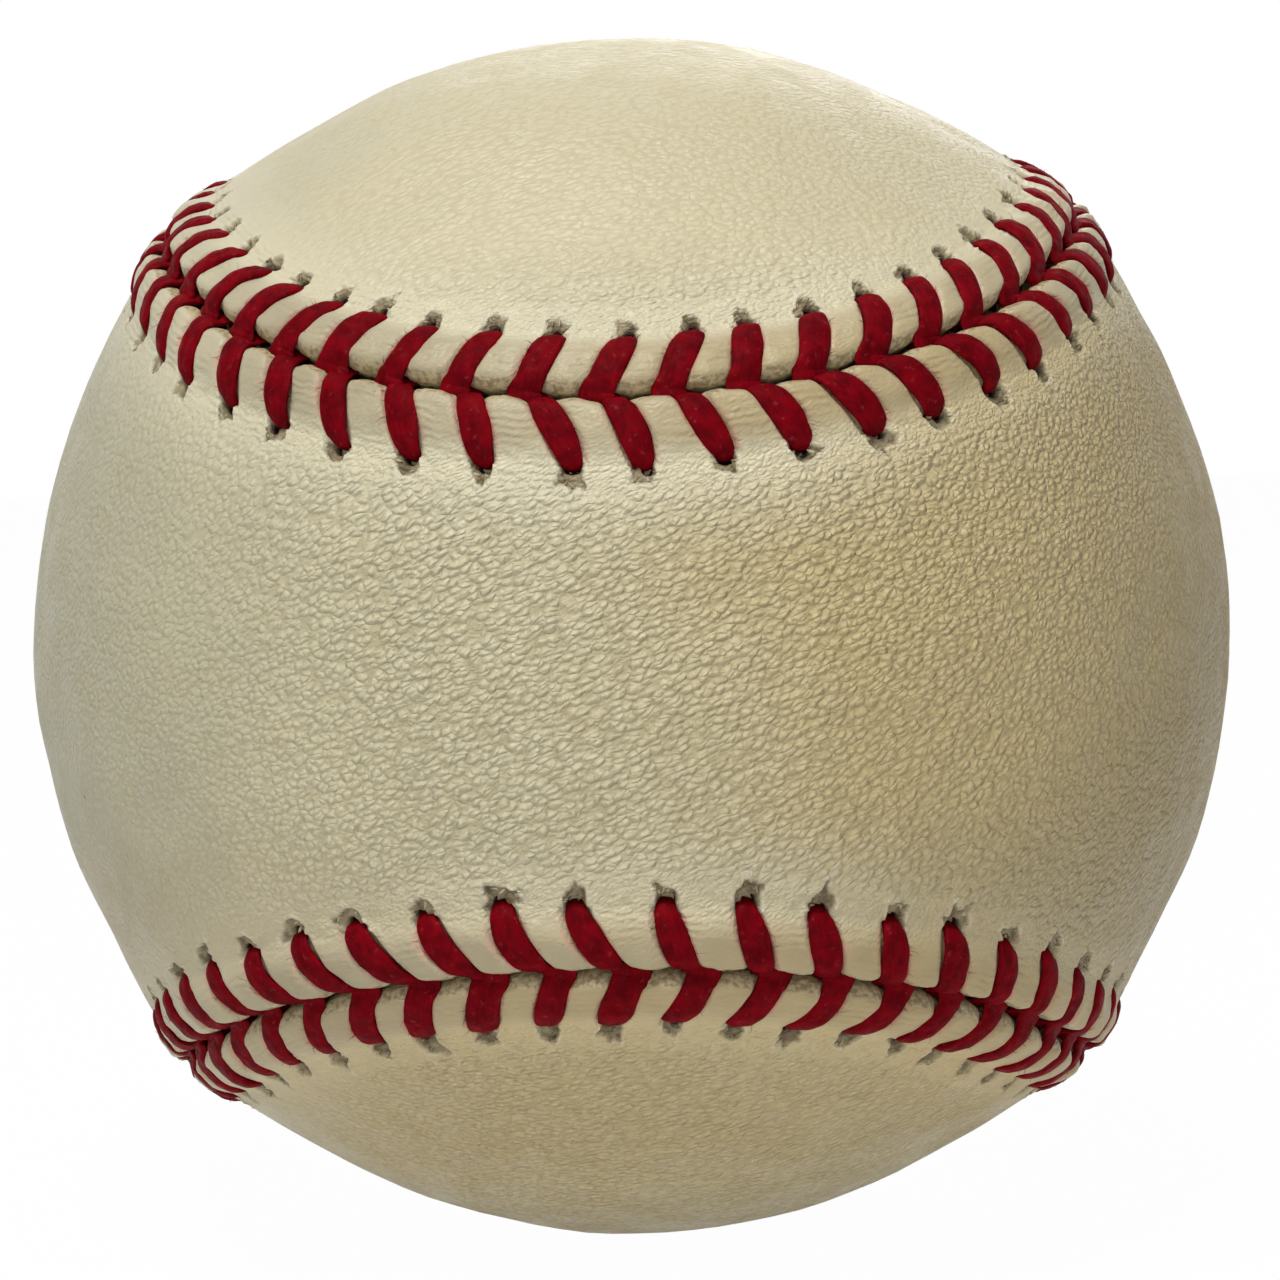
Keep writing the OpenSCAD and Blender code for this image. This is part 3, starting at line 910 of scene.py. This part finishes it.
def srgb(r, g, b):
    """A display colour as the linear one that a shader takes."""
    channels = []
    for value in (r, g, b):
        c = value / 255
        channels.append(c / 12.92 if c <= 0.04045 else ((c + 0.055) / 1.055) ** 2.4)
    return tuple(channels)


def leather_colour(n, seam):
    """Clean leather with its stains by area, painted light near the floor and painted shade at the
    right edge.
    """
    clean = n.mix(n.layer("back"), srgb(213, 205, 172), srgb(209, 200, 168))
    ochre = srgb(204, 184, 134)
    blotch = n.times(n.math("SUBTRACT", n.noise(13, 3), 0.5), 18 * MM)
    across, up = n.math("ADD", n.axis(0), blotch), n.math("ADD", n.axis(2), blotch)
    # Age: ochre over the right of the front panel and the lower end of the back one
    right = n.times(n.ramp(across, -7 * MM, 18 * MM, 0, 0.92), n.along(2, 17, 21, 1, 0.1))
    low_back = n.times(n.layer("back"), n.ramp(up, -13 * MM, 8 * MM, 0.8, 0))
    age = n.math("MAXIMUM", right, low_back)
    colour = n.mix(age, clean, ochre)
    # Painted light: the leather near the floor is lightened, standing in for light thrown up from the
    # floor
    painted_floor_bounce = n.along(2, -36, -26, 1, 0)
    colour = n.mix(painted_floor_bounce, colour, srgb(246, 231, 184))
    left = n.ramp(across, -34 * MM, -8 * MM, 0.95, 0)
    colour = n.mix(left, colour, srgb(181, 177, 151))
    # Painted shade: darker towards the right edge of the front panel
    side = n.times(n.along(0, 20, 33, 0, 0.6), n.along(1, -14, 4, 1, 0.15))
    colour = n.mix(side, colour, srgb(168, 152, 112))
    patches = n.ramp(n.noise(2.2, 4), 0.5, 0.8, 0, 0.16)
    colour = n.mix(patches, colour, ochre)
    # Beside the stitches: paler, except on aged areas
    pale = n.times(n.ramp(seam, 3.5, 10, 0.75, 0), n.ramp(low_back, 0, 0.6, 1, 0.1))
    pale = n.times(pale, n.along(0, 7, 21, 1, 0.25))
    pale = n.times(pale, n.along(0, -16, -4, 0.6, 1))
    colour = n.mix(pale, colour, srgb(226, 219, 191))
    low_front = n.times(n.along(2, -16, -5, 0.6, 0), n.rest(n.layer("back")))
    colour = n.mix(low_front, colour, srgb(185, 172, 138))
    # The pillows between the stitches are handled more than the rest, and soiled
    soil = n.times(n.ramp(seam, 2.2, 3.8, 1, 0), n.ramp(n.noise(2.4, 3), 0.3, 0.7, 0.84, 1))
    soil = n.times(soil, n.along(0, -26, -16, 0.35, 1))
    soiled = n.mix(age, srgb(181, 169, 138), srgb(179, 160, 117))
    soiled_left = n.along(0, -16, -2, 0.6, 0)
    return n.mix(soil, colour, n.mix(soiled_left, soiled, srgb(164, 153, 126)))


def leather_grain(n, seam):
    """Height of the pebbles, drawn out along the wrinkles of the hide, and how rough they are."""
    drawn = n.drawn_out(n.bent(0.4, 0.9), 1.9, GRAIN_TURN)
    away = n.ramp(seam, 3.8, 6)
    fine = n.times(n.pebbles(0.2, drawn), n.rest(away))
    grain = n.math("ADD", n.times(n.pebbles(0.35, drawn), away), fine)
    worn = n.times(n.along(2, 18, 24, 1, 0.4), n.ramp(seam, 2.4, 4.2, 0.4, 1))
    worn = n.times(worn, n.along(0, -27, -8, 0.45, 1))
    return grain, worn, away


def edge_colour(n, colour, fibre):
    """The leather's colour, changed beside the threads, at the cut edge and in the torn holes, with
    painted shade on the cut edge and in the pits.
    """
    rub = n.times(n.layer("rub"), n.ramp(n.noise(0.9, 1), 0.35, 0.7, 0.15, 0.6))
    colour = n.mix(rub, colour, srgb(214, 150, 136))
    # The cut edge: the tan colour of its fibres, darkened further as painted shade where it faces into
    # the groove
    cut = n.mix(n.ramp(fibre, 0.36, 0.6), srgb(150, 132, 96), srgb(192, 178, 144))
    colour = n.mix(n.ramp(n.math("ADD", n.layer("cut"), fibre), 0.95, 1.1), colour, cut)
    torn = n.mix(n.ramp(n.noise(0.7, 2), 0.34, 0.66), srgb(112, 98, 72), srgb(158, 146, 116))
    colour = n.mix(n.layer("tear"), colour, torn)
    # Painted shade: the deep pits of the holes are near black
    colour = n.mix(n.ramp(n.layer("pit"), 0.08, 0.6), colour, srgb(30, 15, 12))
    return n.mix(n.times(n.layer("lip"), 0.6), colour, srgb(232, 226, 206))


def cover_leather():
    n = Nodes("cover_leather")
    seam = n.layer("seam")
    grain, worn, away = leather_grain(n, seam)
    # Painted shade: the grain's creases are darkened in colour, less on the top, the left and near the
    # seam
    creases = n.times(n.ramp(grain, 0.6, 1.4, 0.38, 0), n.times(worn, n.ramp(seam, 4.5, 8, 0.2, 1)))
    colour = n.mix(creases, leather_colour(n, seam), srgb(140, 126, 84))
    spots = n.ramp(n.cells(7, None, "F1"), 0.016, 0.03, 0.6, 0)
    colour = n.mix(spots, colour, srgb(92, 74, 48))
    fibre = n.noise(0.3, 3)
    colour = edge_colour(n, colour, fibre)
    # Fine folds that run along the seam, under the grain
    wave = n.math("ADD", n.times(seam, 15), n.times(n.noise(1.4, 1), 9))
    near = n.times(n.ramp(seam, 0.5, 1.4), n.ramp(seam, 4.2, 5.8, 1, 0))
    folds = n.times(n.math("SINE", wave), near)
    normal = n.bump(folds, 0.02, n.ramp(n.noise(2.5, 1), 0.35, 0.65))
    normal = n.bump(grain, 0.2, n.times(worn, n.ramp(away, 0, 1, 0.5, 1)), normal)
    raw = n.math("MAXIMUM", n.layer("cut"), n.layer("tear"))
    normal = n.bump(fibre, 0.02, raw, normal)
    rough = n.ramp(n.noise(2.5, 2), 0.3, 0.7, 0.4, 0.54)
    return n.finish(Base_Color=colour, Roughness=rough, Normal=normal, Specular_IOR_Level=0.4)


def torn_leather():
    n = Nodes("torn_leather")
    fibre = n.noise(0.2, 3)
    colour = n.mix(n.ramp(n.noise(0.7, 2), 0.4, 0.6), srgb(132, 118, 88), srgb(188, 178, 148))
    normal = n.bump(fibre, 0.03, 0.6)
    return n.finish(Base_Color=colour, Roughness=0.7, Normal=normal, Specular_IOR_Level=0.3)


def red_thread():
    n = Nodes("red_thread")
    deep, bright, frayed_sheen = srgb(88, 0, 9), srgb(127, 2, 17), srgb(170, 74, 76)
    lie = n.tree.nodes.new("ShaderNodeCombineXYZ")
    n.link(n.times(n.layer("along"), 0.22), lie.inputs[0])
    n.link(n.layer("across"), lie.inputs[1])
    strands = n.tree.nodes.new("ShaderNodeTexNoise")
    strands.inputs["Scale"].default_value = 6
    strands.inputs["Detail"].default_value = 3
    n.link(lie.outputs[0], strands.inputs["Vector"])
    streak = strands.outputs["Fac"]
    tone = n.math("ADD", n.times(streak, 0.35), n.times(n.noise(0.9, 3), 0.65))
    colour = n.mix(n.ramp(tone, 0.32, 0.68), deep, bright)
    # Pale pink specks: partly frayed fibres, partly painted sheen
    colour = n.mix(n.ramp(n.noise(0.35, 3), 0.6, 0.78, 0, 0.26), colour, frayed_sheen)
    normal = n.bump(tone, 0.1, 0.7)
    normal = n.bump(n.noise(0.2, 3), 0.04, 0.6, normal)
    rough = n.ramp(n.noise(0.6, 2), 0.3, 0.7, 0.55, 0.75)
    return n.finish(Base_Color=colour, Roughness=rough, Normal=normal, Specular_IOR_Level=0.045)


def layered(name, low, high, size, rough, depth):
    """A plain inner material: two tones mixed by noise, with a bump of the same size."""
    n = Nodes(name)
    tone = n.noise(size, 4)
    normal = n.bump(tone, depth, 0.8)
    colour = n.mix(n.ramp(tone, 0.3, 0.7), low, high)
    return n.finish(Base_Color=colour, Roughness=rough, Normal=normal)


def yarn(name, low, high, width):
    """Yarn wound every way: two crossing sets of soft bands."""
    n = Nodes(name)
    heights = []
    for turn in ((0.4, 0.2, 0.1), (1.5, 0.9, 0.5), (2.4, 2.0, 1.1)):
        mapping = n.tree.nodes.new("ShaderNodeMapping")
        mapping.inputs["Rotation"].default_value = turn
        n.link(n.bent(2, 9), mapping.inputs["Vector"])
        wave = n.tree.nodes.new("ShaderNodeTexWave")
        wave.inputs["Scale"].default_value = 0.3 / (width * MM)
        wave.inputs["Distortion"].default_value = 1.5
        n.link(mapping.outputs[0], wave.inputs["Vector"])
        heights.append(wave.outputs["Fac"])
    height = n.math("MAXIMUM", n.math("MAXIMUM", heights[0], heights[1]), heights[2])
    fuzz = n.noise(0.3, 3)
    normal = n.bump(fuzz, 0.1, 0.5, n.bump(height, 0.4))
    colour = n.mix(height, low, n.mix(fuzz, low, high))
    return n.finish(Base_Color=colour, Roughness=0.9, Normal=normal)


def dress(node, material):
    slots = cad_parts[node].data.materials
    slots.clear()
    slots.append(material)


# Stage, light and camera

WORLD_LIGHT = 0.135
FLOOR_HALF = 1.5
FLOOR_WHITE_SHARE = 0.982
LAMPS = (
    ("key", (-0.08, -0.3, 0.62), 0.24, 3.64, (1, 0.985, 0.955)),
    ("low_front", (-0.03, -0.48, -0.005), 0.2, 0.44, (1, 0.98, 0.95)),
    ("behind", (0.05, 0.55, 0.28), 0.3, 0.6, (1, 0.985, 0.96)),
)
CAMERA_TURN = (0.0753, -0.0205, -0.0357)
CAMERA_FAR = 5.70 * BALL_R
LENS = 94.68
SHIFT = (0.0061, -0.0036)


def make_lamp(name, place, size, power, colour):
    """A round soft lamp that faces the ball."""
    light = bpy.data.lights.new(name, "AREA")
    light.shape = "DISK"
    light.size = size
    light.energy = power
    light.color = colour
    lamp = new_object(name, light)
    lamp.location = place
    lamp.rotation_euler = (-Vector(place)).to_track_quat("-Z", "Y").to_euler()


def background_rays(tree):
    """1 for rays that see the background: from the camera, a mirror or through glass."""
    path = tree.nodes.new("ShaderNodeLightPath")
    total = None
    for name in ("Is Camera Ray", "Is Glossy Ray", "Is Transmission Ray"):
        if total is None:
            total = path.outputs[name]
            continue
        node = tree.nodes.new("ShaderNodeMath")
        node.operation = "MAXIMUM"
        tree.links.new(total, node.inputs[0])
        tree.links.new(path.outputs[name], node.inputs[1])
        total = node.outputs[0]
    return total


def mix_shaders(tree, share, first, second, target):
    mix = tree.nodes.new("ShaderNodeMixShader")
    for source, socket in zip((share, first, second), mix.inputs):
        tree.links.new(source, socket)
    tree.links.new(mix.outputs[0], target)


def set_world(strength):
    world = bpy.data.worlds.new("studio")
    bpy.context.scene.world = world
    world.use_nodes = True
    tree = world.node_tree
    light = tree.nodes["Background"]
    light.inputs["Color"].default_value = (1, 0.99, 0.97, 1)
    light.inputs["Strength"].default_value = strength
    white = tree.nodes.new("ShaderNodeBackground")
    white.inputs["Color"].default_value = (1, 1, 1, 1)
    surface = tree.nodes["World Output"].inputs["Surface"]
    mix_shaders(tree, background_rays(tree), light.outputs[0], white.outputs[0], surface)


def make_floor():
    half = FLOOR_HALF
    corners = [(-half, -half, 0), (half, -half, 0), (half, half, 0), (-half, half, 0)]
    mesh = bpy.data.meshes.new("floor")
    mesh.from_pydata(corners, [], [(0, 1, 2, 3)])
    floor = new_object("floor", mesh)
    floor.location.z = -BALL_R * MM
    material = bpy.data.materials.new("floor")
    material.use_nodes = True
    tree = material.node_tree
    shader = tree.nodes["Principled BSDF"]
    shader.inputs["Base Color"].default_value = (0.9, 0.9, 0.9, 1)
    shader.inputs["Roughness"].default_value = 0.9
    glow = tree.nodes.new("ShaderNodeEmission")
    share = tree.nodes.new("ShaderNodeMath")
    share.operation = "MULTIPLY"
    share.inputs[1].default_value = FLOOR_WHITE_SHARE
    tree.links.new(background_rays(tree), share.inputs[0])
    surface = tree.nodes["Material Output"].inputs["Surface"]
    mix_shaders(tree, share.outputs[0], shader.outputs[0], glow.outputs[0], surface)
    mesh.materials.append(material)


def make_camera():
    rx, ry, rz = CAMERA_TURN
    turn = (Matrix.Rotation(ry, 3, "Y") @ Matrix.Rotation(rx, 3, "X") @ Matrix.Rotation(rz, 3, "Z"))
    right, ahead, up = turn.transposed().col
    data = bpy.data.cameras.new("camera")
    data.sensor_width = 36
    data.lens = LENS
    data.shift_x, data.shift_y = SHIFT
    data.clip_start, data.clip_end = 0.01, 10
    camera = new_object("camera", data)
    rows = Matrix((right, up, -ahead)).transposed().to_4x4()
    camera.matrix_world = Matrix.Translation(-ahead * CAMERA_FAR * MM) @ rows
    bpy.context.scene.camera = camera


# The ball and its setting

def build_cover():
    """The leather and the lacing with their torn tongues and loose fibres."""
    panels = {1: Panel(1), -1: Panel(-1)}
    legs_of = {side: panel.legs for side, panel in panels.items()}
    leather_pieces = [
        cover_panel(panels[1], "leather_front", "cover_panel_front"),
        cover_panel(panels[-1], "leather_back", "cover_panel_back"),
    ]
    thread_pieces = [
        lacing_thread(1, "thread_first", "lacing_thread_first", legs_of),
        lacing_thread(-1, "thread_second", "lacing_thread_second", legs_of),
    ]
    torn_pieces = []
    for side, end in ((1, "front"), (-1, "back")):
        legs, holes = panels[side].legs, panels[side].holes
        torn_pieces.append(torn_flaps("torn_" + end, legs, holes, FLAPS_PER_HOLE, SEED + side * 2))
        thread_pieces.append(thread_fuzz("fuzz_" + end, legs, FIBRES_PER_LEG, SEED + side * 3))
    for pieces, material in ((leather_pieces, cover_leather()), (thread_pieces, red_thread()),
                             (torn_pieces, torn_leather())):
        for piece in pieces:
            piece.data.materials.append(material)


def dress_inner_nodes():
    black_rubber = layered("black_rubber", srgb(28, 28, 30), srgb(50, 50, 54), 0.5, 0.6, 0.05)
    red_rubber = layered("red_rubber", srgb(140, 36, 28), srgb(176, 56, 44), 0.5, 0.6, 0.05)
    grey_wool = yarn("grey_wool", srgb(96, 102, 110), srgb(150, 156, 164), 1.6)
    white_wool = yarn("white_wool", srgb(196, 190, 176), srgb(236, 232, 222), 1.4)
    cotton = yarn("cotton_yarn", srgb(206, 194, 164), srgb(240, 234, 214), 0.7)
    dress("cork_core", layered("cork", srgb(120, 84, 50), srgb(190, 150, 104), 1.2, 0.85, 0.2))
    dress("inner_cup_top", black_rubber)
    dress("inner_cup_bottom", black_rubber)
    dress("cup_gasket", red_rubber)
    dress("pill_jacket", red_rubber)
    dress("inner_grey_winding", grey_wool)
    dress("white_winding", white_wool)
    dress("outer_grey_winding", grey_wool)
    dress("cotton_winding", cotton)
    dress("adhesive_coat", layered("adhesive", srgb(120, 104, 66), srgb(170, 152, 104), 2.5, 0.5, 0.1))


build_cover()
dress_inner_nodes()
set_world(WORLD_LIGHT)
make_floor()
for lamp in LAMPS:
    make_lamp(*lamp)
make_camera()
bpy.context.scene.view_settings.view_transform = "Standard"
